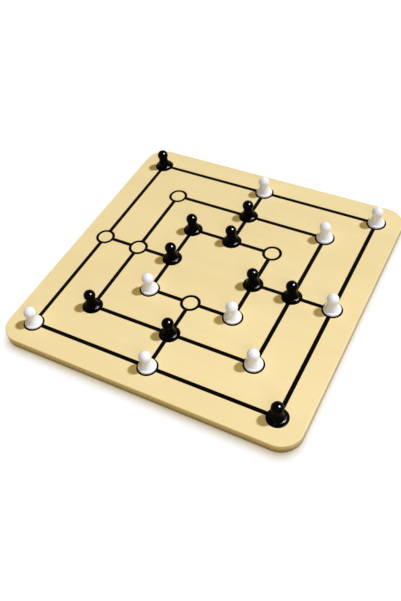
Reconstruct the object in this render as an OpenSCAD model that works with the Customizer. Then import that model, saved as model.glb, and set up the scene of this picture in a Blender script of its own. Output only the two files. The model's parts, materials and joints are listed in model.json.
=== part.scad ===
// Nine men's morris board, with a game's men standing on its points.
// The board lies on its plain underside. The origin is the middle of that face, +X runs to
// the right, +Y to the far side and +Z up. The points are named as on a chess board:
// files a to g along +X, ranks 1 to 7 along +Y.

/* [Board] */
// Length of each side of the square board
board_w = 250; // [230:1:320]
// Thickness of the board
board_t = 8.5; // [6:0.5:20]
// Radius of the board's corners, seen from above
corner_r = 17; // [8:0.5:25]
// Radius of the softened edges along the face and the underside
edge_round = 0.9; // [0.4:0.1:2]

/* [Playing lines] */
// Distance from the board's side to the middle of the outer square's line
outer_margin = 21; // [18:0.5:30]
// Distance from each square to the next, from middle of line to middle of line
square_gap = 33.4; // [26:0.2:36]
// Width of the painted lines
line_w = 3.4; // [1.5:0.1:5]
// Outer diameter of the ring painted round each point
ring_d = 16.6; // [14:0.1:20]
// Width of the stroke that draws each ring
ring_stroke = 2.4; // [1:0.1:3]
// Depth of the routed grooves that the paint fills
groove_depth = 0.5; // [0.2:0.05:1.5]
// How far the paint's surface lies below the board's face
paint_drop = 0.05; // [0.02:0.01:0.15]
// Gap between the edge of the paint and the wall of its groove
paint_gap = 0.02; // [0.01:0.01:0.05]

/* [Men] */
// Height of a man, from the board to the top of its head
man_h = 17; // [15:0.5:22]
// Diameter of a man's foot
foot_d = 14; // [12.5:0.1:16]
// Height of the foot's rim
foot_h = 2.2; // [2:0.1:3.5]
// Radius that rounds the upper edge of the foot
foot_top_round = 1; // [0.4:0.1:1.4]
// Radius that rounds the lower edge of the foot
foot_under_round = 0.5; // [0.2:0.1:0.6]
// Diameter at which the skirt rises from the foot
skirt_d = 11.6; // [10:0.1:12.4]
// Radius of the hollow curve between the foot and the neck
skirt_curve_r = 16; // [10:0.5:30]
// Diameter of the neck where it meets the head
neck_d = 7.7; // [5:0.1:7.8]
// Diameter of the ball that makes the head
head_d = 9.4; // [8:0.1:10]
// Diameter of the shallow dish under the foot, which lets the rim stand without rocking
dish_d = 9; // [6:0.1:10]
// Depth of the dish
dish_depth = 0.4; // [0.2:0.1:0.8]

/* [Hidden] */
$fn = 96;

// Points where the dark men and the pale men stand
black_points = ["a7", "d6", "c5", "d5", "c4", "e4", "f4", "b2", "d2", "g1"];
white_points = ["d7", "g7", "f6", "g4", "c3", "e3", "f2", "a1", "d1"];
line_nodes = ["outer_square_line", "middle_square_line", "inner_square_line", "link_lines"];

// Half sides of the three squares, largest first
outer_half = board_w / 2 - outer_margin;
middle_half = outer_half - square_gap;
inner_half = middle_half - square_gap;
square_halves = [outer_half, middle_half, inner_half];

// Distance of each file or rank from the middle, a to g or 1 to 7
steps = [-outer_half, -middle_half, -inner_half, 0, inner_half, middle_half, outer_half];
files = "abcdefg";
ranks = "1234567";

ring_r = ring_d / 2;
ring_inner_r = ring_r - ring_stroke;
groove_floor = board_t - groove_depth;
paint_t = groove_depth - paint_drop;
// Cuts run this far past a face, so that no thin skin is left
past = 1;

foot_r = foot_d / 2;
skirt_base_r = skirt_d / 2;
neck_r = neck_d / 2;
head_r = head_d / 2;
dish_r = dish_d / 2;
head_z = man_h - head_r;
// Height at which the neck meets the ball
neck_z = head_z - sqrt(head_r * head_r - neck_r * neck_r);
// Radius of the round hollow that is cut as a dish
dish_curve_r = (dish_r * dish_r + dish_depth * dish_depth) / (2 * dish_depth);

// Middle of the circle that hollows the skirt, on the outer side of the line from the
// foot to the neck
skirt_run = skirt_base_r - neck_r;
skirt_rise = neck_z - foot_h;
skirt_chord = sqrt(skirt_run * skirt_run + skirt_rise * skirt_rise);
skirt_off = sqrt(skirt_curve_r * skirt_curve_r - skirt_chord * skirt_chord / 4);
skirt_curve_x = (skirt_base_r + neck_r) / 2 + skirt_off * skirt_rise / skirt_chord;
skirt_curve_z = (foot_h + neck_z) / 2 + skirt_off * skirt_run / skirt_chord;

board_colour = [0.94, 0.86, 0.66];
paint_colour = [0.04, 0.04, 0.04];
black_colour = [0.05, 0.05, 0.06];
white_colour = [0.95, 0.95, 0.93];

// Place of a named point on the board
function file_of(p) = search(p[0], files)[0];
function rank_of(p) = search(p[1], ranks)[0];
function place(p) = [steps[file_of(p)], steps[rank_of(p)]];

// Every point where lines meet: eight on each square
all_points = [for (h = square_halves, i = [-1:1], j = [-1:1]) if (i != 0 || j != 0) [i * h, j * h]];

// Plan of one square's line, widened on both sides by spread
module square_plan(half, spread) {
    outside = 2 * half + line_w + 2 * spread;
    inside = 2 * half - line_w - 2 * spread;
    difference() {
        square(outside, center = true);
        square(inside, center = true);
    }
}

// Plan of the four links that join the middles of the squares' sides. Both ends, and the
// crossing with the middle square, lie under the rings' discs.
module link_plan(spread) {
    for (turn = [0:90:270])
        rotate(turn)
            translate([inner_half, -line_w / 2 - spread])
                square([outer_half - inner_half, line_w + 2 * spread]);
}

// Discs on all the points
module point_discs(r) {
    for (p = all_points)
        translate(p)
            circle(r);
}

// Section across the board's rim, from its inner edge at x = 0 outwards
module rim_section() {
    flat = corner_r - edge_round;
    square([flat, board_t]);
    translate([0, edge_round])
        square([corner_r, board_t - 2 * edge_round]);
    for (z = [edge_round, board_t - edge_round])
        translate([flat, z])
            circle(edge_round);
}

// The bare panel: a slab with the rim section along its sides and round its corners
module panel() {
    slab = board_w - 2 * corner_r;
    translate([-slab / 2, -slab / 2, 0])
        cube([slab, slab, board_t]);
    for (turn = [0:90:270])
        rotate(turn) {
            translate([slab / 2, slab / 2, 0])
                rotate([90, 0, 0])
                    linear_extrude(slab)
                        rim_section();
            translate([slab / 2, slab / 2, 0])
                rotate_extrude(angle = 90)
                    rim_section();
        }
}

// Plan of all the grooves together
module groove_plan() {
    difference() {
        union() {
            for (h = square_halves)
                square_plan(h, paint_gap);
            link_plan(paint_gap);
            point_discs(ring_r + paint_gap);
        }
        point_discs(ring_inner_r - paint_gap);
    }
}

// Board with its routed grooves
module board() {
    color(board_colour)
        difference() {
            panel();
            translate([0, 0, groove_floor])
                linear_extrude(groove_depth + past)
                    groove_plan();
        }
}

// A layer of paint lying on the floor of its groove
module paint() {
    color(paint_colour)
        translate([0, 0, groove_floor])
            linear_extrude(paint_t)
                children();
}

// One ring round each point
module point_rings() {
    paint()
        difference() {
            point_discs(ring_r);
            point_discs(ring_inner_r);
        }
}

// The line of one square, in four sides cut off at the rings
module square_line(half) {
    paint()
        difference() {
            square_plan(half, 0);
            point_discs(ring_r + paint_gap);
        }
}

// The links between the squares, cut off at the rings
module link_lines() {
    paint()
        difference() {
            link_plan(0);
            point_discs(ring_r + paint_gap);
        }
}

// Section of the foot: a disc with rounded edges
module foot_section() {
    square([foot_r - foot_top_round, foot_h]);
    translate([0, foot_under_round])
        square([foot_r, foot_h - foot_under_round - foot_top_round]);
    square([foot_r - foot_under_round, foot_h - foot_top_round]);
    translate([foot_r - foot_top_round, foot_h - foot_top_round])
        circle(foot_top_round);
    translate([foot_r - foot_under_round, foot_under_round])
        circle(foot_under_round);
}

// Section of the skirt: its hollow curve runs from the foot past the neck into the head
module skirt_section() {
    from = foot_h - foot_top_round;
    to = (neck_z + head_z) / 2;
    difference() {
        translate([0, from])
            square([skirt_base_r, to - from]);
        translate([skirt_curve_x, skirt_curve_z])
            circle(skirt_curve_r);
    }
}

// Half section of a man, from its middle outwards
module man_section() {
    difference() {
        union() {
            foot_section();
            skirt_section();
            translate([0, head_z])
                circle(head_r);
        }
        translate([0, dish_depth - dish_curve_r])
            circle(dish_curve_r);
        translate([-man_h, -past])
            square([man_h, man_h + 2 * past]);
    }
}

// A man turned to that section, standing on its point
module man(point, colour) {
    color(colour)
        translate([place(point)[0], place(point)[1], board_t])
            rotate_extrude()
                man_section();
}

board();
point_rings();
square_line(outer_half);  // outer_square_line
square_line(middle_half);  // middle_square_line
square_line(inner_half);  // inner_square_line
link_lines();
for (p = black_points)
    man(p, black_colour);
for (p = white_points)
    man(p, white_colour);
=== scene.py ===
"""Nine men's morris board: the dressed model, built round the frame of solids."""

import json
import math

import bmesh
import bpy
from bpy.props import FloatProperty, FloatVectorProperty, IntProperty, PointerProperty
from bpy.types import Operator, Panel, PropertyGroup
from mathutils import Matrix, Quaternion, Vector

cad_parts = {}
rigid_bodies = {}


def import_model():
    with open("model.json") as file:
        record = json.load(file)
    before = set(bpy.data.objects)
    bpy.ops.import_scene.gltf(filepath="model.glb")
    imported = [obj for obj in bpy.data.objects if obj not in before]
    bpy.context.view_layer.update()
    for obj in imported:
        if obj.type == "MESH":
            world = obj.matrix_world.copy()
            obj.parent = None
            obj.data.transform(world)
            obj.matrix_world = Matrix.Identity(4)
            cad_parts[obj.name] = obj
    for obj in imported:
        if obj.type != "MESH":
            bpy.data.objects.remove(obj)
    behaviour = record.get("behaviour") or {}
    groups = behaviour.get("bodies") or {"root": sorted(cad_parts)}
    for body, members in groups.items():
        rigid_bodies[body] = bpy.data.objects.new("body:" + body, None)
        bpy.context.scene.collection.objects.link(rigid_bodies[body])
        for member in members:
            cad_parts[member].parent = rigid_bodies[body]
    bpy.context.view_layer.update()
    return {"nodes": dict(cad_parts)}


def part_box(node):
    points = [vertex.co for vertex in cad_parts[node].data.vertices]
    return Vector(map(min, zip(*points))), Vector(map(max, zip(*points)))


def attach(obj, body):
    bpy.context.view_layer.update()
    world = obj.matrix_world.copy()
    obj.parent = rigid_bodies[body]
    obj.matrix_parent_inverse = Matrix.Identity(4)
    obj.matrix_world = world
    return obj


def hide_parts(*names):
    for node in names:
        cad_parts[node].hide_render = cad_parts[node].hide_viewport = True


bl_info = {
    "name": "Nine Men's Morris Board",
    "version": (1, 0, 0),
    "blender": (4, 5, 0),
    "location": "View3D > Sidebar > Morris",
    "description": "Builds a nine men's morris board with its painted lines and its men",
    "category": "Object",
}

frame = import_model()

MM = 0.001

BLACK_MEN = sorted(name for name in frame["nodes"] if name.startswith("black_man_"))
WHITE_MEN = sorted(name for name in frame["nodes"] if name.startswith("white_man_"))
SQUARE_LINES = ["outer_square_line", "middle_square_line", "inner_square_line"]

BOARD_LOW, BOARD_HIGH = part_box("board")
BOARD_SIZE = BOARD_HIGH - BOARD_LOW
FACE_Z = BOARD_HIGH.z
MAN_LOW, MAN_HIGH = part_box(BLACK_MEN[0])
MAN_SIZE = MAN_HIGH - MAN_LOW

QUARTER = math.pi / 2
FULL = 2 * math.pi
# Points closer than this are merged
WELD = 0.001 * MM

# Faces along the arcs of the sections and round the turned shapes
CORNER_STEPS = 24
BOARD_EDGE_STEPS = 6
RING_STEPS = 96
STROKE_EDGE_STEPS = 4
CROWN_STEPS = 8
DISH_STEPS = 8
UNDERSIDE_STEPS = 3
FOOT_UNDER_STEPS = 6
FOOT_TOP_STEPS = 12
SKIRT_STEPS = 20
HEAD_STEPS = 36
FILLET_STEPS = 4
STAGE_STEPS = 64

# Faces that meet at less than these angles are shaded as one surface
BOARD_SMOOTH = math.radians(32)
PAINT_SMOOTH = math.radians(50)
MAN_SMOOTH = math.radians(40)

# Sockets of a Mix node that blends two colours
MIX_SHARE = 0
MIX_FIRST = 6
MIX_SECOND = 7
MIX_RESULT = 2


# Settings

class MorrisBoardSettings(PropertyGroup):
    """Sizes and colours of the wooden board"""

    corner_radius: FloatProperty(
        name="Corner Radius",
        description="Radius of the corners, seen from above",
        default=17 * MM,
        min=1 * MM,
        unit="LENGTH",
    )
    edge_round: FloatProperty(
        name="Edge Round",
        description="Radius of the softened edges along the face and the underside",
        default=0.6 * MM,
        min=0.1 * MM,
        unit="LENGTH",
    )
    groove_depth: FloatProperty(
        name="Groove Depth",
        description="Depth of the routed grooves that the paint fills",
        default=0.5 * MM,
        min=0.1 * MM,
        unit="LENGTH",
    )
    arris: FloatProperty(
        name="Groove Arris",
        description="Width of the fine chamfer along the grooves' upper edges",
        default=0.05 * MM,
        min=0.01 * MM,
        unit="LENGTH",
    )
    wood_light: FloatVectorProperty(
        name="Pale Wood",
        description="Colour of the wood between the darker growth lines",
        default=(0.885, 0.725, 0.375),
        min=0,
        max=1,
        subtype="COLOR",
    )
    wood_dark: FloatVectorProperty(
        name="Dark Wood",
        description="Colour of the wood in its growth lines",
        default=(0.815, 0.645, 0.315),
        min=0,
        max=1,
        subtype="COLOR",
    )


class MorrisPaintSettings(PropertyGroup):
    """Sizes and colour of the painted lines and rings"""

    line_width: FloatProperty(
        name="Line Width",
        description="Width of the painted lines",
        default=3.4 * MM,
        min=0.5 * MM,
        unit="LENGTH",
    )
    ring_diameter: FloatProperty(
        name="Ring Diameter",
        description="Outer diameter of the ring painted round each point",
        default=16.6 * MM,
        min=4 * MM,
        unit="LENGTH",
    )
    ring_stroke: FloatProperty(
        name="Ring Stroke",
        description="Width of the stroke that draws each ring",
        default=2.4 * MM,
        min=0.5 * MM,
        unit="LENGTH",
    )
    drop: FloatProperty(
        name="Paint Drop",
        description="How far the paint's surface lies below the board's face",
        default=0.05 * MM,
        min=0,
        unit="LENGTH",
    )
    gap: FloatProperty(
        name="Paint Gap",
        description="Gap between the paint and the wall of its groove",
        default=0.02 * MM,
        min=0,
        unit="LENGTH",
    )
    crown: FloatProperty(
        name="Crown",
        description="How much higher the paint dries in the middle of a stroke",
        default=0.03 * MM,
        min=0.001 * MM,
        unit="LENGTH",
    )
    edge_round: FloatProperty(
        name="Edge Round",
        description="Radius at the edges of a stroke",
        default=0.12 * MM,
        min=0.01 * MM,
        unit="LENGTH",
    )
    colour: FloatVectorProperty(
        name="Paint",
        description="Colour of the line paint",
        default=(0.0008, 0.0008, 0.0009),
        min=0,
        max=1,
        subtype="COLOR",
    )


class MorrisManSettings(PropertyGroup):
    """Sizes and colours of the men"""

    foot_height: FloatProperty(
        name="Foot Height",
        description="Height of the foot's rim",
        default=2.2 * MM,
        min=1 * MM,
        unit="LENGTH",
    )
    foot_top_round: FloatProperty(
        name="Foot Top Round",
        description="Radius that rounds the upper edge of the foot",
        default=1.0 * MM,
        min=0.1 * MM,
        unit="LENGTH",
    )
    foot_under_round: FloatProperty(
        name="Foot Under Round",
        description="Radius that rounds the lower edge of the foot",
        default=0.5 * MM,
        min=0.1 * MM,
        unit="LENGTH",
    )
    skirt_diameter: FloatProperty(
        name="Skirt Diameter",
        description="Diameter at which the skirt rises from the foot",
        default=11.6 * MM,
        min=5 * MM,
        unit="LENGTH",
    )
    skirt_curve: FloatProperty(
        name="Skirt Curve",
        description="Radius of the hollow curve between the foot and the neck",
        default=16 * MM,
        min=6 * MM,
        unit="LENGTH",
    )
    neck_diameter: FloatProperty(
        name="Neck Diameter",
        description="Diameter of the neck where it meets the head",
        default=7.7 * MM,
        min=2 * MM,
        unit="LENGTH",
    )
    head_diameter: FloatProperty(
        name="Head Diameter",
        description="Diameter of the ball that makes the head",
        default=9.4 * MM,
        min=4 * MM,
        unit="LENGTH",
    )
    dish_diameter: FloatProperty(
        name="Dish Diameter",
        description="Diameter of the shallow dish under the foot",
        default=9 * MM,
        min=2 * MM,
        unit="LENGTH",
    )
    dish_depth: FloatProperty(
        name="Dish Depth",
        description="Depth of the dish under the foot",
        default=0.4 * MM,
        min=0.05 * MM,
        unit="LENGTH",
    )
    fillet: FloatProperty(
        name="Fillet",
        description="Width of the small fillets at the crease over the foot and at the neck",
        default=0.22 * MM,
        min=0.02 * MM,
        unit="LENGTH",
    )
    turn_steps: IntProperty(
        name="Turn Steps",
        description="Number of faces round a man",
        default=96,
        min=24,
    )
    black: FloatVectorProperty(
        name="Black",
        description="Colour of the black men",
        default=(0.0004, 0.0004, 0.0005),
        min=0,
        max=1,
        subtype="COLOR",
    )
    white: FloatVectorProperty(
        name="White",
        description="Colour of the white men",
        default=(0.862, 0.876, 0.836),
        min=0,
        max=1,
        subtype="COLOR",
    )


class MorrisStageSettings(PropertyGroup):
    """Lamps, floor and camera"""

    key_azimuth: FloatProperty(
        name="Key Azimuth",
        description="Direction of the key lamp, turned from the right side towards the far side",
        default=math.radians(38),
        subtype="ANGLE",
    )
    key_elevation: FloatProperty(
        name="Key Elevation",
        description="Height of the key lamp above the horizon",
        default=math.radians(53.5),
        subtype="ANGLE",
    )
    key_strength: FloatProperty(
        name="Key Strength",
        description="Strength of the key lamp, which lights the part and not the floor",
        default=3.45,
        min=0,
    )
    key_size: FloatProperty(
        name="Key Size",
        description="Angle that the key lamp fills, which softens the shadows",
        default=math.radians(5),
        subtype="ANGLE",
    )
    key_colour: FloatVectorProperty(
        name="Key Light",
        description="Colour of the key lamp",
        default=(0.725, 0.8, 1.0),
        min=0,
        max=1,
        subtype="COLOR",
    )
    room_colour: FloatVectorProperty(
        name="Room Light",
        description="Warm light that comes evenly from the whole room",
        default=(0.263, 0.18, 0.005),
        min=0,
        max=1,
        subtype="COLOR",
    )
    glint_place: FloatVectorProperty(
        name="Glint Place",
        description="Where the bright panel stands that only shows as a glint on the black men",
        default=(1136 * MM, 304 * MM, 1618 * MM),
        subtype="TRANSLATION",
        unit="LENGTH",
    )
    glint_brightness: FloatProperty(
        name="Glint Brightness",
        description="Brightness of the glint panel",
        default=912.0,
        min=0,
    )
    glint_size: FloatProperty(
        name="Glint Size",
        description="Diameter of the glint panel",
        default=923 * MM,
        min=1 * MM,
        unit="LENGTH",
    )
    fill_azimuth: FloatProperty(
        name="Fill Azimuth",
        description="Direction of the cool light that clears the shade side of the men",
        default=math.radians(-60),
        subtype="ANGLE",
    )
    fill_elevation: FloatProperty(
        name="Fill Elevation",
        description="Height of the fill lamp above the horizon",
        default=math.radians(45),
        subtype="ANGLE",
    )
    fill_strength: FloatProperty(
        name="Fill Strength",
        description="Strength of the fill lamp, which lights the men alone",
        default=0.72,
        min=0,
    )
    fill_size: FloatProperty(
        name="Fill Size",
        description="Angle that the fill lamp fills",
        default=math.radians(100),
        subtype="ANGLE",
    )
    fill_colour: FloatVectorProperty(
        name="Fill Light",
        description="Colour of the fill lamp",
        default=(0.02, 0.19, 1.0),
        min=0,
        max=1,
        subtype="COLOR",
    )
    near_place: FloatVectorProperty(
        name="Near Place",
        description="Where the weak soft lamp by the nearest corner stands",
        default=(360 * MM, -400 * MM, 420 * MM),
        subtype="TRANSLATION",
        unit="LENGTH",
    )
    near_target: FloatVectorProperty(
        name="Near Target",
        description="Point that the near lamp shines at",
        default=(60 * MM, -80 * MM, 0),
        subtype="TRANSLATION",
        unit="LENGTH",
    )
    near_power: FloatProperty(
        name="Near Power",
        description="Power of the near lamp, in watts",
        default=1.05,
        min=0,
    )
    near_size: FloatProperty(
        name="Near Size",
        description="Diameter of the near lamp",
        default=400 * MM,
        min=1 * MM,
        unit="LENGTH",
    )
    near_colour: FloatVectorProperty(
        name="Near Light",
        description="Colour of the near lamp",
        default=(0.9, 0.94, 1.0),
        min=0,
        max=1,
        subtype="COLOR",
    )
    floor_azimuth: FloatProperty(
        name="Floor Azimuth",
        description="Direction of the soft lamp that only lights the floor",
        default=math.radians(105),
        subtype="ANGLE",
    )
    floor_elevation: FloatProperty(
        name="Floor Elevation",
        description="Height of the floor's lamp above the horizon",
        default=math.radians(63),
        subtype="ANGLE",
    )
    floor_strength: FloatProperty(
        name="Floor Strength",
        description="Strength of the floor's lamp",
        default=2.54,
        min=0,
    )
    floor_size: FloatProperty(
        name="Floor Lamp Size",
        description="Angle that the floor's lamp fills",
        default=math.radians(50),
        subtype="ANGLE",
    )
    floor_colour: FloatVectorProperty(
        name="Floor Light",
        description="Colour of the floor's lamp",
        default=(0.579, 0.715, 1.0),
        min=0,
        max=1,
        subtype="COLOR",
    )
    floor_glow: FloatVectorProperty(
        name="Floor Glow",
        description="What the floor shows even in the shade of the board",
        default=(0.34, 0.33, 0.3),
        min=0,
        max=1,
        subtype="COLOR",
    )
    bounce: FloatVectorProperty(
        name="Bounce",
        description="How much of its light the floor gives back to the part",
        default=(0.55, 0.42, 0.08),
        min=0,
        max=1,
        subtype="COLOR",
    )
    camera_place: FloatVectorProperty(
        name="Camera Place",
        description="Where the camera stands",
        default=(206.42 * MM, -330.6 * MM, 424.5 * MM),
        subtype="TRANSLATION",
        unit="LENGTH",
    )
    camera_target: FloatVectorProperty(
        name="Camera Target",
        description="Point of the board's face that the camera looks at",
        default=(18.99 * MM, -26.31 * MM, 8.5 * MM),
        subtype="TRANSLATION",
        unit="LENGTH",
    )
    camera_roll: FloatProperty(
        name="Camera Roll",
        description="Turn of the camera about its own line of sight",
        default=math.radians(-6.34),
        subtype="ANGLE",
    )
    camera_lens: FloatProperty(
        name="Camera Lens",
        description="Focal length, in millimetres",
        default=41.743,
        min=10,
    )
    camera_shift: FloatProperty(
        name="Camera Shift",
        description="Sideways shift of the frame, in widths of the sensor",
        default=-0.0291,
    )


# Handling of objects and meshes

def deselect_all():
    """Leave every object, and leave edit mode if it is on."""
    if bpy.context.mode != "OBJECT":
        bpy.ops.object.mode_set(mode="OBJECT")
    bpy.ops.object.select_all(action="DESELECT")


def pick(obj):
    """Make one object the only selected and active one."""
    deselect_all()
    obj.select_set(True)
    bpy.context.view_layer.objects.active = obj


def copy_to(obj, place, turn=0.0):
    """Copy an object with its own mesh to a place, turned about the upright axis."""
    pick(obj)
    bpy.ops.object.duplicate(linked=False)
    copy = bpy.context.object
    copy.location = place
    copy.rotation_euler = (0, 0, turn)
    bpy.ops.object.transform_apply(location=True, rotation=True, scale=True)
    return copy


def join(objects, name):
    """Join objects into the first of them and name it."""
    pick(objects[0])
    for obj in objects:
        obj.select_set(True)
    if len(objects) > 1:
        bpy.ops.object.join()
    joined = bpy.context.object
    joined.name = name
    joined.data.name = name
    return joined


def remove(obj):
    """Delete an object that was only a pattern or a cutter."""
    pick(obj)
    bpy.ops.object.delete()


def apply_modifier(obj, kind, **settings):
    """Add a modifier to an object, set it and apply it."""
    pick(obj)
    modifier = obj.modifiers.new(kind.title(), kind)
    for key, value in settings.items():
        setattr(modifier, key, value)
    bpy.ops.object.modifier_apply(modifier=modifier.name)


def cut(obj, cutter):
    """Take the cutter's shape out of an object, and delete the cutter."""
    apply_modifier(obj, "BOOLEAN", operation="DIFFERENCE", solver="EXACT", object=cutter)
    remove(cutter)


def select_edges(obj, wanted):
    """In edit mode, select only the edges whose two ends both pass the test."""
    bpy.ops.mesh.select_all(action="DESELECT")
    bpy.ops.mesh.select_mode(type="EDGE")
    mesh = bmesh.from_edit_mesh(obj.data)
    for edge in mesh.edges:
        if all(wanted(vertex.co) for vertex in edge.verts):
            edge.select = True
    bmesh.update_edit_mesh(obj.data)


def smooth(obj, angle):
    """Shade faces smoothly where they meet at less than an angle, flat faces staying flat."""
    pick(obj)
    bpy.ops.object.shade_smooth_by_angle(angle=angle)
    apply_modifier(obj, "WEIGHTED_NORMAL", keep_sharp=True)


def hand_over(obj, material, body, slot, *nodes):
    """Give a finished piece its material and its place in the frame."""
    obj.data.materials.clear()
    obj.data.materials.append(material)
    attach(obj, body)
    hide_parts(*nodes)


class Pen:
    """Draws a section in the upright plane through the X axis, as edges of a new mesh."""

    def __init__(self, name, x, z):
        deselect_all()
        bpy.ops.mesh.primitive_plane_add(size=1 * MM)
        self.obj = bpy.context.object
        self.obj.name = name
        self.at = Vector((x, 0, z))
        bpy.ops.object.mode_set(mode="EDIT")
        bpy.ops.mesh.select_mode(type="VERT")
        bpy.ops.mesh.select_all(action="SELECT")
        bpy.ops.mesh.merge(type="CENTER")
        bpy.ops.transform.translate(value=self.at)

    def line_to(self, x, z, steps=1):
        """Draw a straight line to a point, in one or more steps."""
        step = (Vector((x, 0, z)) - self.at) / steps
        for _ in range(steps):
            bpy.ops.mesh.extrude_region_move(TRANSFORM_OT_translate={"value": step})
        self.at = self.at + step * steps

    def arc(self, centre_x, centre_z, turn, steps):
        """Draw an arc round a centre. A positive turn goes from +X towards +Z."""
        centre = Vector((centre_x, 0, centre_z))
        bpy.ops.mesh.spin(steps=steps, angle=turn, center=centre, axis=(0, 1, 0))
        self.at = centre + Quaternion((0, -1, 0), turn) @ (self.at - centre)

    def close(self):
        """Join the last point to the first, where the section comes round to its start."""
        bpy.ops.mesh.select_all(action="SELECT")
        bpy.ops.mesh.remove_doubles(threshold=WELD)

    def spin(self, steps):
        """Turn the section once round the Z axis into a closed shape."""
        bpy.ops.mesh.select_all(action="SELECT")
        bpy.ops.mesh.spin(steps=steps, angle=FULL, center=(0, 0, 0), axis=(0, 0, 1))
        return self.finish()

    def pull(self, length):
        """Pull a closed section along the Y axis into a bar, closed at both ends."""
        bpy.ops.mesh.select_all(action="SELECT")
        bpy.ops.mesh.edge_face_add()
        bpy.ops.mesh.extrude_region_move(TRANSFORM_OT_translate={"value": (0, length, 0)})
        return self.finish()

    def finish(self):
        """Merge what lies together, turn the faces outwards and leave edit mode."""
        bpy.ops.mesh.select_all(action="SELECT")
        bpy.ops.mesh.remove_doubles(threshold=WELD)
        bpy.ops.mesh.normals_make_consistent(inside=False)
        bpy.ops.object.mode_set(mode="OBJECT")
        return self.obj


# Layout of the game

def square_halves(paint):
    """Half sides of the three squares, from the middle of the board to the middle of a line."""
    return [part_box(name)[1].x - paint.line_width / 2 for name in SQUARE_LINES]


def square_points(half):
    """The eight points of a square: its corners and the middles of its sides."""
    steps = (-half, 0.0, half)
    return [Vector((x, y, 0)) for x in steps for y in steps if (x, y) != (0, 0)]


def square_stretches(half):
    """Place, turn and length between points of a square's eight stretches of line."""
    rows = []
    for side in range(4):
        turn = side * QUARTER
        for along in (-half / 2, half / 2):
            place = Vector((half, along, 0))
            place.rotate(Quaternion((0, 0, 1), turn))
            rows.append((place, turn, half))
    return rows


def link_stretches(halves):
    """Place, turn and length between points of the eight links between the squares."""
    rows = []
    for outer, inner in zip(halves, halves[1:]):
        for side in range(4):
            turn = side * QUARTER
            place = Vector(((outer + inner) / 2, 0, 0))
            place.rotate(Quaternion((0, 0, 1), turn))
            rows.append((place, turn + QUARTER, outer - inner))
    return rows


def line_stretches(halves):
    """All stretches of line on the board."""
    rows = link_stretches(halves)
    for half in halves:
        rows += square_stretches(half)
    return rows


# Node trees of the finishes

class Finish:
    """A material under construction: its node tree and the shorthand that fills it."""

    def __init__(self, name):
        self.material = bpy.data.materials.new(name)
        self.material.use_nodes = True
        self.nodes = self.material.node_tree.nodes
        self.links = self.material.node_tree.links
        self.shader = self.nodes["Principled BSDF"]
        self.coords = self.node("ShaderNodeTexCoord").outputs["Object"]

    def node(self, kind, **settings):
        """Add a node and set its properties."""
        made = self.nodes.new(kind)
        for key, value in settings.items():
            setattr(made, key, value)
        return made

    def feed(self, socket, value):
        """Link an output to an input, or set the input's value."""
        if isinstance(value, bpy.types.NodeSocket):
            self.links.new(value, socket)
        else:
            socket.default_value = value

    def stretched(self, scale):
        """The piece's own coordinates, in features per metre along each axis."""
        mapping = self.node("ShaderNodeMapping")
        self.feed(mapping.inputs["Vector"], self.coords)
        mapping.inputs["Scale"].default_value = scale
        return mapping.outputs["Vector"]

    def height(self):
        """Height above the floor."""
        split = self.node("ShaderNodeSeparateXYZ")
        self.feed(split.inputs["Vector"], self.coords)
        return split.outputs["Z"]

    def noise(self, scale, detail=2.0, rough=0.5, warp=0.0):
        """Cloudy noise from 0 to 1, with about this many features per metre."""
        texture = self.node("ShaderNodeTexNoise")
        self.feed(texture.inputs["Vector"], self.stretched(scale))
        texture.inputs["Scale"].default_value = 1.0
        texture.inputs["Detail"].default_value = detail
        texture.inputs["Roughness"].default_value = rough
        texture.inputs["Distortion"].default_value = warp
        return texture.outputs["Fac"]

    def spread(self, value, low, high, to_low=0.0, to_high=1.0):
        """Stretch a value's range from low and high to two other ends, clamped."""
        node = self.node("ShaderNodeMapRange")
        self.feed(node.inputs["Value"], value)
        node.inputs["From Min"].default_value = low
        node.inputs["From Max"].default_value = high
        node.inputs["To Min"].default_value = to_low
        node.inputs["To Max"].default_value = to_high
        return node.outputs["Result"]

    def sum(self, first, second, share):
        """The first value plus a share of the second."""
        node = self.node("ShaderNodeMath", operation="MULTIPLY_ADD")
        self.feed(node.inputs[0], second)
        node.inputs[1].default_value = share
        self.feed(node.inputs[2], first)
        return node.outputs["Value"]

    def blend(self, share, first, second, mode="MIX"):
        """Blend two colours by a share."""
        node = self.node("ShaderNodeMix", data_type="RGBA", blend_type=mode)
        self.feed(node.inputs[MIX_SHARE], share)
        for socket, value in ((MIX_FIRST, first), (MIX_SECOND, second)):
            if not isinstance(value, bpy.types.NodeSocket):
                value = (*value, 1.0)
            self.feed(node.inputs[socket], value)
        return node.outputs[MIX_RESULT]

    def surface(self, colour, roughness, height, distance):
        """Link colour, roughness and a fine relief to the shader."""
        self.feed(self.shader.inputs["Base Color"], colour)
        self.feed(self.shader.inputs["Roughness"], roughness)
        bump = self.node("ShaderNodeBump")
        bump.inputs["Distance"].default_value = distance
        self.feed(bump.inputs["Height"], height)
        self.feed(self.shader.inputs["Normal"], bump.outputs["Normal"])
        return self.material


def darker(colour, share):
    """A colour scaled by a share."""
    return tuple(channel * share for channel in colour)


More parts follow.
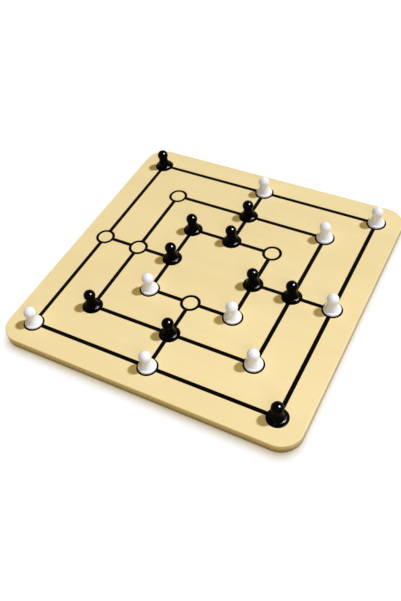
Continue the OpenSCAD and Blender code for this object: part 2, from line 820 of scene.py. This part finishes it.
def lacquered_wood(board):
    """Pale close-grained wood under a satin lacquer, its grain running from left to right, with
    painted shade darkening the board's sides towards the bottom.
    """
    finish = Finish("lacquered_wood")
    figure = finish.noise((3.0, 42.0, 42.0), detail=3.0, warp=0.6)
    fibres = finish.noise((14.0, 520.0, 520.0), detail=3.0, rough=0.6)
    mottle = finish.noise((38.0, 55.0, 55.0), detail=3.0, rough=0.55)
    pores = finish.noise((170.0, 2600.0, 2600.0), detail=1.0)
    grain = finish.sum(finish.spread(figure, 0.3, 0.7), fibres, 0.5)
    growth = finish.spread(grain, 0.45, 1.2, 0.45, 0.0)
    tone = finish.blend(growth, board.wood_light, board.wood_dark)
    flecks = finish.spread(pores, 0.66, 0.76, 0.0, 0.2)
    tone = finish.blend(flecks, tone, darker(board.wood_dark, 0.8))
    clouds = finish.spread(mottle, 0.3, 0.7, 0.0, 0.05)
    tone = finish.blend(clouds, tone, (1.0, 0.94, 0.85), "MULTIPLY")
    # Painted shade: the wood of the board's sides is darkened towards the bottom, standing in for
    # the shade that falls near the floor
    side = finish.spread(finish.height(), 0.0, 0.75 * FACE_Z, 1.0, 0.0)
    tone = finish.blend(side, tone, (0.15, 0.12, 0.03), "MULTIPLY")
    roughness = finish.spread(mottle, 0.3, 0.7, 0.42, 0.52)
    relief = finish.sum(fibres, flecks, -0.6)
    finish.shader.inputs["Specular IOR Level"].default_value = 0.4
    return finish.surface(tone, roughness, relief, 0.012 * MM)


def groove_paint(paint):
    """Black satin paint that has dried in its groove."""
    finish = Finish("groove_paint")
    flow = finish.noise((300.0, 300.0, 300.0), detail=2.0)
    grit = finish.noise((2200.0, 2200.0, 2200.0), detail=2.0)
    cloud = finish.noise((45.0, 45.0, 45.0), detail=3.0)
    tone = finish.blend(finish.spread(cloud, 0.35, 0.7), paint.colour, darker(paint.colour, 1.7))
    roughness = finish.spread(cloud, 0.3, 0.7, 0.42, 0.52)
    relief = finish.sum(flow, grit, 0.3)
    finish.shader.inputs["Specular IOR Level"].default_value = 0.035
    return finish.surface(tone, roughness, relief, 0.02 * MM)


def black_plastic(men):
    """Polished black plastic, with the faint waviness of a moulding."""
    finish = Finish("black_plastic")
    waves = finish.noise((260.0, 260.0, 260.0), detail=1.0)
    haze = finish.noise((700.0, 700.0, 700.0), detail=3.0)
    tone = finish.blend(finish.spread(haze, 0.4, 0.75), men.black, darker(men.black, 1.8))
    foot_top = FACE_Z + men.foot_height
    wear = finish.spread(finish.height(), foot_top, foot_top + 2 * men.foot_height, 0.1, 0.0)
    roughness = finish.sum(finish.spread(haze, 0.3, 0.7, 0.1, 0.16), wear, 1.0)
    finish.shader.inputs["Specular IOR Level"].default_value = 0.02
    return finish.surface(tone, roughness, waves, 0.02 * MM)


def white_plastic(men):
    """Glossy white plastic, with the faint waviness of a moulding."""
    finish = Finish("white_plastic")
    waves = finish.noise((260.0, 260.0, 260.0), detail=1.0)
    haze = finish.noise((500.0, 500.0, 500.0), detail=3.0)
    tone = finish.blend(finish.spread(haze, 0.35, 0.75), men.white, darker(men.white, 0.975))
    roughness = finish.spread(haze, 0.3, 0.7, 0.24, 0.32)
    finish.shader.inputs["Specular IOR Level"].default_value = 0.4
    return finish.surface(tone, roughness, waves, 0.015 * MM)


# Pieces

def groove_pen(name, board, half_width, middle=0.0):
    """Draw the section of a groove's cutter: upright walls that flare at the board's face."""
    floor = FACE_Z - board.groove_depth
    past = board.groove_depth
    flare = board.arris
    left = middle - half_width
    right = middle + half_width
    pen = Pen(name, left, floor)
    pen.line_to(right, floor)
    pen.line_to(right, FACE_Z - flare)
    pen.line_to(right + flare + past, FACE_Z + past)
    pen.line_to(left - flare - past, FACE_Z + past)
    pen.line_to(left, FACE_Z - flare)
    pen.line_to(left, floor)
    pen.close()
    return pen


def on_all_points(ring, paint, name):
    """Copy a ring to each of the points, delete the pattern and join the copies."""
    halves = square_halves(paint)
    rings = [copy_to(ring, point) for half in halves for point in square_points(half)]
    remove(ring)
    return join(rings, name)


def lay_bar(bar, place, turn, length):
    """Copy a bar onto the middle of a stretch of line, turned along it, and delete the pattern."""
    start = Quaternion((0, 0, 1), turn) @ Vector((0, -length / 2, 0))
    laid = copy_to(bar, place + start, turn)
    remove(bar)
    return laid


def cut_grooves(panel, board, paint):
    """Rout the rings and then the lines, which run into the rings' grooves."""
    ring_middle = (paint.ring_diameter - paint.ring_stroke) / 2
    pen = groove_pen("ring_cutter", board, paint.ring_stroke / 2 + paint.gap, ring_middle)
    cut(panel, on_all_points(pen.spin(RING_STEPS), paint, "ring_cutters"))
    bars = []
    for place, turn, length in line_stretches(square_halves(paint)):
        run = length - 2 * ring_middle
        pen = groove_pen("line_cutter", board, paint.line_width / 2 + paint.gap)
        bars.append(lay_bar(pen.pull(run), place, turn, run))
    cut(panel, join(bars, "line_cutters"))


def stroke_pen(name, board, paint, width, middle=0.0):
    """Draw the section of a stroke of paint: a flat bottom, rounded edges and a low crown."""
    floor = FACE_Z - board.groove_depth
    shoulder = FACE_Z - paint.drop - paint.edge_round
    inset = width / 2 - paint.edge_round
    crown_radius = (inset * inset + paint.crown * paint.crown) / (2 * paint.crown)
    crown_angle = math.asin(inset / crown_radius)
    left = middle - width / 2
    right = middle + width / 2
    pen = Pen(name, left, floor)
    pen.line_to(right, floor)
    pen.line_to(right, shoulder)
    pen.arc(right - paint.edge_round, shoulder, QUARTER, STROKE_EDGE_STEPS)
    crown_z = FACE_Z - paint.drop + paint.crown - crown_radius
    pen.arc(middle, crown_z, 2 * crown_angle, CROWN_STEPS)
    pen.arc(left + paint.edge_round, shoulder, QUARTER, STROKE_EDGE_STEPS)
    pen.line_to(left, floor)
    pen.close()
    return pen


def lay_strokes(name, board, paint, stretches):
    """Lay straight strokes of paint and trim their ends to the rings."""
    ring_radius = paint.ring_diameter / 2 + paint.gap
    overlap = ring_radius / 8
    strokes = []
    for place, turn, length in stretches:
        run = length - 2 * (ring_radius - overlap)
        stroke = stroke_pen("stroke", board, paint, paint.line_width).pull(run)
        strokes.append(lay_bar(stroke, place, turn, run))
    laid = join(strokes, name)
    ends = [end for row in stretches for end in stretch_ends(*row)]
    discs = []
    for point in {(round(end.x, 7), round(end.y, 7)) for end in ends}:
        bpy.ops.mesh.primitive_cylinder_add(
            vertices=2 * RING_STEPS,
            radius=ring_radius,
            depth=4 * board.groove_depth,
            location=(*point, FACE_Z),
        )
        bpy.ops.object.transform_apply(location=True, rotation=True, scale=True)
        discs.append(bpy.context.object)
    cut(laid, join(discs, "end_cutters"))
    return laid


def stretch_ends(place, turn, length):
    """The two points that a stretch of line joins."""
    half = Quaternion((0, 0, 1), turn) @ Vector((0, length / 2, 0))
    return (place - half).to_2d(), (place + half).to_2d()


class MORRIS_OT_board(Operator):
    """Model the board: round its corners, soften its edges and rout its grooves"""

    bl_idname = "morris.board"
    bl_label = "Board"

    def execute(self, context):
        board = context.scene.morris_board
        deselect_all()
        bpy.ops.mesh.primitive_plane_add(size=BOARD_SIZE.x)
        panel = context.object
        panel.name = "wooden_board"
        bpy.ops.object.mode_set(mode="EDIT")
        bpy.ops.mesh.select_all(action="SELECT")
        bpy.ops.mesh.bevel(
            affect="VERTICES", offset=board.corner_radius, segments=CORNER_STEPS, profile=0.5
        )
        bpy.ops.mesh.select_all(action="SELECT")
        bpy.ops.mesh.extrude_region_move(TRANSFORM_OT_translate={"value": (0, 0, BOARD_SIZE.z)})
        near = board.edge_round / 10
        select_edges(panel, lambda co: min(abs(co.z), abs(co.z - FACE_Z)) < near)
        bpy.ops.mesh.bevel(offset=board.edge_round, segments=BOARD_EDGE_STEPS, profile=0.5)
        bpy.ops.mesh.select_all(action="SELECT")
        bpy.ops.mesh.normals_make_consistent(inside=False)
        bpy.ops.object.mode_set(mode="OBJECT")
        cut_grooves(panel, board, context.scene.morris_paint)
        smooth(panel, BOARD_SMOOTH)
        hand_over(panel, lacquered_wood(board), "board", "board", "board")
        return {"FINISHED"}


class MORRIS_OT_rings(Operator):
    """Lay the painted ring round each of the points"""

    bl_idname = "morris.rings"
    bl_label = "Rings"

    def execute(self, context):
        board = context.scene.morris_board
        paint = context.scene.morris_paint
        middle = (paint.ring_diameter - paint.ring_stroke) / 2
        ring = stroke_pen("ring", board, paint, paint.ring_stroke, middle).spin(RING_STEPS)
        rings = on_all_points(ring, paint, "ring_paint")
        smooth(rings, PAINT_SMOOTH)
        hand_over(rings, groove_paint(paint), "board", "line_paint", "point_rings")
        return {"FINISHED"}


class MORRIS_OT_lines(Operator):
    """Lay the painted lines of the three squares and the links between them"""

    bl_idname = "morris.lines"
    bl_label = "Lines"

    def execute(self, context):
        board = context.scene.morris_board
        paint = context.scene.morris_paint
        halves = square_halves(paint)
        runs = {name: square_stretches(half) for name, half in zip(SQUARE_LINES, halves)}
        runs["link_lines"] = link_stretches(halves)
        material = bpy.data.materials["groove_paint"]
        for node, stretches in runs.items():
            strokes = lay_strokes(node.replace("_line", "_paint"), board, paint, stretches)
            smooth(strokes, PAINT_SMOOTH)
            hand_over(strokes, material, "board", "line_paint", node)
        return {"FINISHED"}


def turn_man(men):
    """Turn one man about the upright axis, standing on the board's face."""
    foot_radius = MAN_SIZE.x / 2
    dish_radius = men.dish_diameter / 2
    dish_curve = (dish_radius ** 2 + men.dish_depth ** 2) / (2 * men.dish_depth)
    skirt_radius = men.skirt_diameter / 2
    neck_radius = men.neck_diameter / 2
    head_radius = men.head_diameter / 2
    head_z = MAN_SIZE.z - head_radius
    neck_z = head_z - math.sqrt(head_radius ** 2 - neck_radius ** 2)
    rim_x = foot_radius - men.foot_top_round
    rim_z = men.foot_height - men.foot_top_round
    crease_angle = math.acos(max(skirt_radius - rim_x, 0) / men.foot_top_round)

    base = Vector((skirt_radius, men.foot_height))
    neck = Vector((neck_radius, neck_z))
    chord = neck - base
    outward = Vector((chord.y, -chord.x)).normalized()
    centre = (base + neck) / 2 + outward * math.sqrt(men.skirt_curve ** 2 - (chord.length / 2) ** 2)
    skirt_turn = -2 * math.asin(chord.length / 2 / men.skirt_curve)

    dish_z = FACE_Z + men.dish_depth
    under_x = foot_radius - men.foot_under_round
    pen = Pen("man", 0, dish_z)
    pen.arc(0, dish_z - dish_curve, -math.asin(dish_radius / dish_curve), DISH_STEPS)
    pen.line_to(under_x, FACE_Z, UNDERSIDE_STEPS)
    pen.arc(under_x, FACE_Z + men.foot_under_round, QUARTER, FOOT_UNDER_STEPS)
    pen.line_to(foot_radius, FACE_Z + rim_z)
    pen.arc(rim_x, FACE_Z + rim_z, crease_angle, FOOT_TOP_STEPS)
    pen.line_to(base.x, FACE_Z + base.y)
    pen.arc(centre.x, FACE_Z + centre.y, skirt_turn, SKIRT_STEPS)
    neck_angle = math.atan2(neck_z - head_z, neck_radius)
    pen.arc(0, FACE_Z + head_z, QUARTER - neck_angle, HEAD_STEPS)
    man = pen.spin(men.turn_steps)

    pick(man)
    bpy.ops.object.mode_set(mode="EDIT")
    near = men.fillet / 4
    for radius, height in (base, neck):
        select_edges(
            man,
            lambda co: abs(co.xy.length - radius) < near and abs(co.z - FACE_Z - height) < near,
        )
        bpy.ops.mesh.bevel(offset=men.fillet, segments=FILLET_STEPS, profile=0.5)
    bpy.ops.object.mode_set(mode="OBJECT")
    return man


def man_name(node):
    """Name of the man that replaces a node."""
    return "turned_" + node


def turned_men(nodes):
    """The men that replace some nodes."""
    return [bpy.data.objects[man_name(node)] for node in nodes]


def stand_men(nodes, men, material, slot):
    """Stand a copy of the turned man on the place of each node."""
    pattern = turn_man(men)
    for node in nodes:
        low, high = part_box(node)
        middle = (low + high) / 2
        man = copy_to(pattern, (middle.x, middle.y, 0))
        man.name = man_name(node)
        man.data.name = man.name
        pick(man)
        bpy.ops.object.shade_smooth_by_angle(angle=MAN_SMOOTH)
        hand_over(man, material, node, slot, node)
    remove(pattern)


class MORRIS_OT_black_men(Operator):
    """Turn the black men and stand them on their points"""

    bl_idname = "morris.black_men"
    bl_label = "Black Men"

    def execute(self, context):
        men = context.scene.morris_men
        stand_men(BLACK_MEN, men, black_plastic(men), "black_man")
        return {"FINISHED"}


class MORRIS_OT_white_men(Operator):
    """Turn the white men and stand them on their points"""

    bl_idname = "morris.white_men"
    bl_label = "White Men"

    def execute(self, context):
        men = context.scene.morris_men
        stand_men(WHITE_MEN, men, white_plastic(men), "white_man")
        return {"FINISHED"}


# Stage

def aim(obj, direction, roll=0.0):
    """Turn a lamp or camera to look along a direction."""
    obj.rotation_mode = "QUATERNION"
    obj.rotation_quaternion = direction.to_track_quat("-Z", "Y") @ Quaternion((0, 0, 1), roll)


def add_lamp(name, kind, place, target, energy, colour, **settings):
    """Add a lamp that shines from a place towards a target."""
    data = bpy.data.lights.new(name, kind)
    data.energy = energy
    data.color = colour
    for key, value in settings.items():
        setattr(data, key, value)
    lamp = bpy.data.objects.new(name, data)
    bpy.context.scene.collection.objects.link(lamp)
    lamp.location = place
    aim(lamp, Vector(target) - Vector(place))
    return lamp


def seen_rays(tree):
    """A value that is 1 for rays from the camera, from gloss and through glass, else 0."""
    path = tree.nodes.new("ShaderNodeLightPath")
    seen = path.outputs["Is Camera Ray"]
    for name in ("Is Glossy Ray", "Is Transmission Ray"):
        larger = tree.nodes.new("ShaderNodeMath")
        larger.operation = "MAXIMUM"
        tree.links.new(seen, larger.inputs[0])
        tree.links.new(path.outputs[name], larger.inputs[1])
        seen = larger.outputs["Value"]
    return seen


def bare_material(name):
    """A material without a shader, whose glow doesn't count as a lamp."""
    material = bpy.data.materials.new(name)
    material.cycles.emission_sampling = "NONE"
    material.use_nodes = True
    nodes = material.node_tree.nodes
    nodes.remove(nodes["Principled BSDF"])
    return material


def stage_material(name, glow, bounce):
    """Plain white that also glows where it is seen, and duller where it only reflects."""
    material = bare_material(name)
    tree = material.node_tree
    seen = seen_rays(tree)
    tone = tree.nodes.new("ShaderNodeMix")
    tone.data_type = "RGBA"
    tone.inputs[MIX_FIRST].default_value = (*bounce, 1)
    tone.inputs[MIX_SECOND].default_value = (1, 1, 1, 1)
    tree.links.new(seen, tone.inputs[MIX_SHARE])
    lit = tree.nodes.new("ShaderNodeBsdfDiffuse")
    tree.links.new(tone.outputs[MIX_RESULT], lit.inputs["Color"])
    bright = tree.nodes.new("ShaderNodeEmission")
    bright.inputs["Color"].default_value = (*glow, 1)
    tree.links.new(seen, bright.inputs["Strength"])
    both = tree.nodes.new("ShaderNodeAddShader")
    tree.links.new(lit.outputs["BSDF"], both.inputs[0])
    tree.links.new(bright.outputs["Emission"], both.inputs[1])
    tree.links.new(both.outputs["Shader"], tree.nodes["Material Output"].inputs["Surface"])
    return material


def link_light(lamp, objects, state="INCLUDE"):
    """Let a lamp light nothing but the given objects, or all but them."""
    receivers = bpy.data.collections.new(lamp.name + "_receivers")
    for obj in objects:
        receivers.objects.link(obj)
    lamp.light_linking.receiver_collection = receivers
    for row in receivers.collection_objects:
        row.light_linking.link_state = state


def bearing(azimuth, elevation):
    """Direction of a lamp, turned from +X towards +Y and raised above the horizon."""
    level = math.cos(elevation)
    return Vector((level * math.cos(azimuth), level * math.sin(azimuth), math.sin(elevation)))


def add_sun(name, direction, strength, colour, size):
    """Add a lamp that shines from endlessly far."""
    return add_lamp(name, "SUN", direction, (0, 0, 0), strength, colour, angle=size)


def add_far_disk(name, direction, strength, colour, size):
    """Add a disk so far off that it lights the men as a sun of that strength and size would."""
    distance = 30.0
    power = strength * math.pi * (distance / math.cos(size / 2)) ** 2
    width = 2 * distance * math.tan(size / 2)
    return add_lamp(
        name, "AREA", direction * distance, (0, 0, 0), power, colour, shape="DISK", size=width,
    )


class MORRIS_OT_stage(Operator):
    """Set the floor, the backdrop, the lamps and the camera"""

    bl_idname = "morris.stage"
    bl_label = "Stage"

    def execute(self, context):
        stage = context.scene.morris_stage
        floor = self.set_floor(stage)
        self.set_lamps(stage, floor)
        self.set_room(stage)
        self.set_glint(stage)
        self.set_camera(context.scene, stage)
        context.scene.view_settings.view_transform = "Standard"
        return {"FINISHED"}

    def set_floor(self, stage):
        """Lay a round floor with a wall far round it."""
        floor_radius = 3.0
        wall_height = 2.4
        sink = 0.05 * MM
        pen = Pen("floor", 0, -sink)
        pen.line_to(floor_radius, -sink)
        floor = pen.spin(STAGE_STEPS)
        floor.data.materials.append(stage_material("floor", stage.floor_glow, stage.bounce))
        pen = Pen("backdrop", floor_radius, -sink)
        pen.line_to(floor_radius, wall_height)
        backdrop = pen.spin(STAGE_STEPS)
        backdrop.data.materials.append(stage_material("backdrop", (1, 1, 1), stage.bounce))
        backdrop.visible_diffuse = False
        backdrop.visible_shadow = False
        return floor

    def set_lamps(self, stage, floor):
        """Light the part with a small key lamp and weak helpers, and the floor with its own."""
        # A piece that two suns light can lose one of them in a render, so each has one at most
        key = add_sun(
            "key", bearing(stage.key_azimuth, stage.key_elevation), stage.key_strength,
            stage.key_colour, stage.key_size,
        )
        link_light(key, [floor], "EXCLUDE")
        floor_key = add_sun(
            "floor_key", bearing(stage.floor_azimuth, stage.floor_elevation),
            stage.floor_strength, stage.floor_colour, stage.floor_size,
        )
        link_light(floor_key, [floor])
        fill = add_far_disk(
            "fill", bearing(stage.fill_azimuth, stage.fill_elevation), stage.fill_strength,
            stage.fill_colour, stage.fill_size,
        )
        link_light(fill, turned_men(BLACK_MEN + WHITE_MEN))
        near = add_lamp(
            "near", "AREA", stage.near_place, stage.near_target, stage.near_power,
            stage.near_colour, shape="DISK", size=stage.near_size,
        )
        link_light(near, [floor], "EXCLUDE")

    def set_room(self, stage):
        """Fill the shade with the even, warm light of a room."""
        world = bpy.context.scene.world or bpy.data.worlds.new("room")
        bpy.context.scene.world = world
        world.use_nodes = True
        background = world.node_tree.nodes["Background"]
        background.inputs["Color"].default_value = (*stage.room_colour, 1)
        background.inputs["Strength"].default_value = 1.0

    def set_glint(self, stage):
        """Hang a bright panel that is seen in the gloss of the black men alone."""
        pen = Pen("glint_panel", 0, 0)
        pen.line_to(stage.glint_size / 2, 0)
        panel = pen.spin(STAGE_STEPS)
        material = bare_material("glint_panel")
        tree = material.node_tree
        bright = tree.nodes.new("ShaderNodeEmission")
        bright.inputs["Strength"].default_value = stage.glint_brightness
        tree.links.new(bright.outputs["Emission"], tree.nodes["Material Output"].inputs["Surface"])
        panel.data.materials.append(material)
        panel.location = stage.glint_place
        aim(panel, -Vector(stage.glint_place))
        panel.visible_camera = False
        panel.visible_diffuse = False
        panel.visible_transmission = False
        panel.visible_shadow = False
        link_light(panel, turned_men(BLACK_MEN))

    def set_camera(self, scene, stage):
        """Stand the camera where the photographer stood."""
        data = bpy.data.cameras.new("camera")
        data.lens = stage.camera_lens
        data.sensor_width = 36
        data.shift_x = stage.camera_shift
        data.clip_start = 10 * MM
        camera = bpy.data.objects.new("camera", data)
        scene.collection.objects.link(camera)
        place = Vector(stage.camera_place)
        camera.location = place
        aim(camera, Vector(stage.camera_target) - place, stage.camera_roll)
        scene.camera = camera


class MORRIS_PT_panel(Panel):
    """Buttons that build the board piece by piece"""

    bl_idname = "MORRIS_PT_panel"
    bl_label = "Nine Men's Morris"
    bl_space_type = "VIEW_3D"
    bl_region_type = "UI"
    bl_category = "Morris"

    def draw(self, context):
        for step in STEPS:
            self.layout.operator(step.bl_idname)


STEPS = (
    MORRIS_OT_board,
    MORRIS_OT_rings,
    MORRIS_OT_lines,
    MORRIS_OT_black_men,
    MORRIS_OT_white_men,
    MORRIS_OT_stage,
)
SETTINGS = {
    "morris_board": MorrisBoardSettings,
    "morris_paint": MorrisPaintSettings,
    "morris_men": MorrisManSettings,
    "morris_stage": MorrisStageSettings,
}


def register():
    for name, group in SETTINGS.items():
        bpy.utils.register_class(group)
        setattr(bpy.types.Scene, name, PointerProperty(type=group))
    for item in (*STEPS, MORRIS_PT_panel):
        bpy.utils.register_class(item)


def unregister():
    for item in (MORRIS_PT_panel, *reversed(STEPS)):
        bpy.utils.unregister_class(item)
    for name, group in SETTINGS.items():
        delattr(bpy.types.Scene, name)
        bpy.utils.unregister_class(group)


def main():
    register()
    bpy.ops.morris.board()
    bpy.ops.morris.rings()
    bpy.ops.morris.lines()
    bpy.ops.morris.black_men()
    bpy.ops.morris.white_men()
    bpy.ops.morris.stage()


if __name__ == "__main__":
    main()
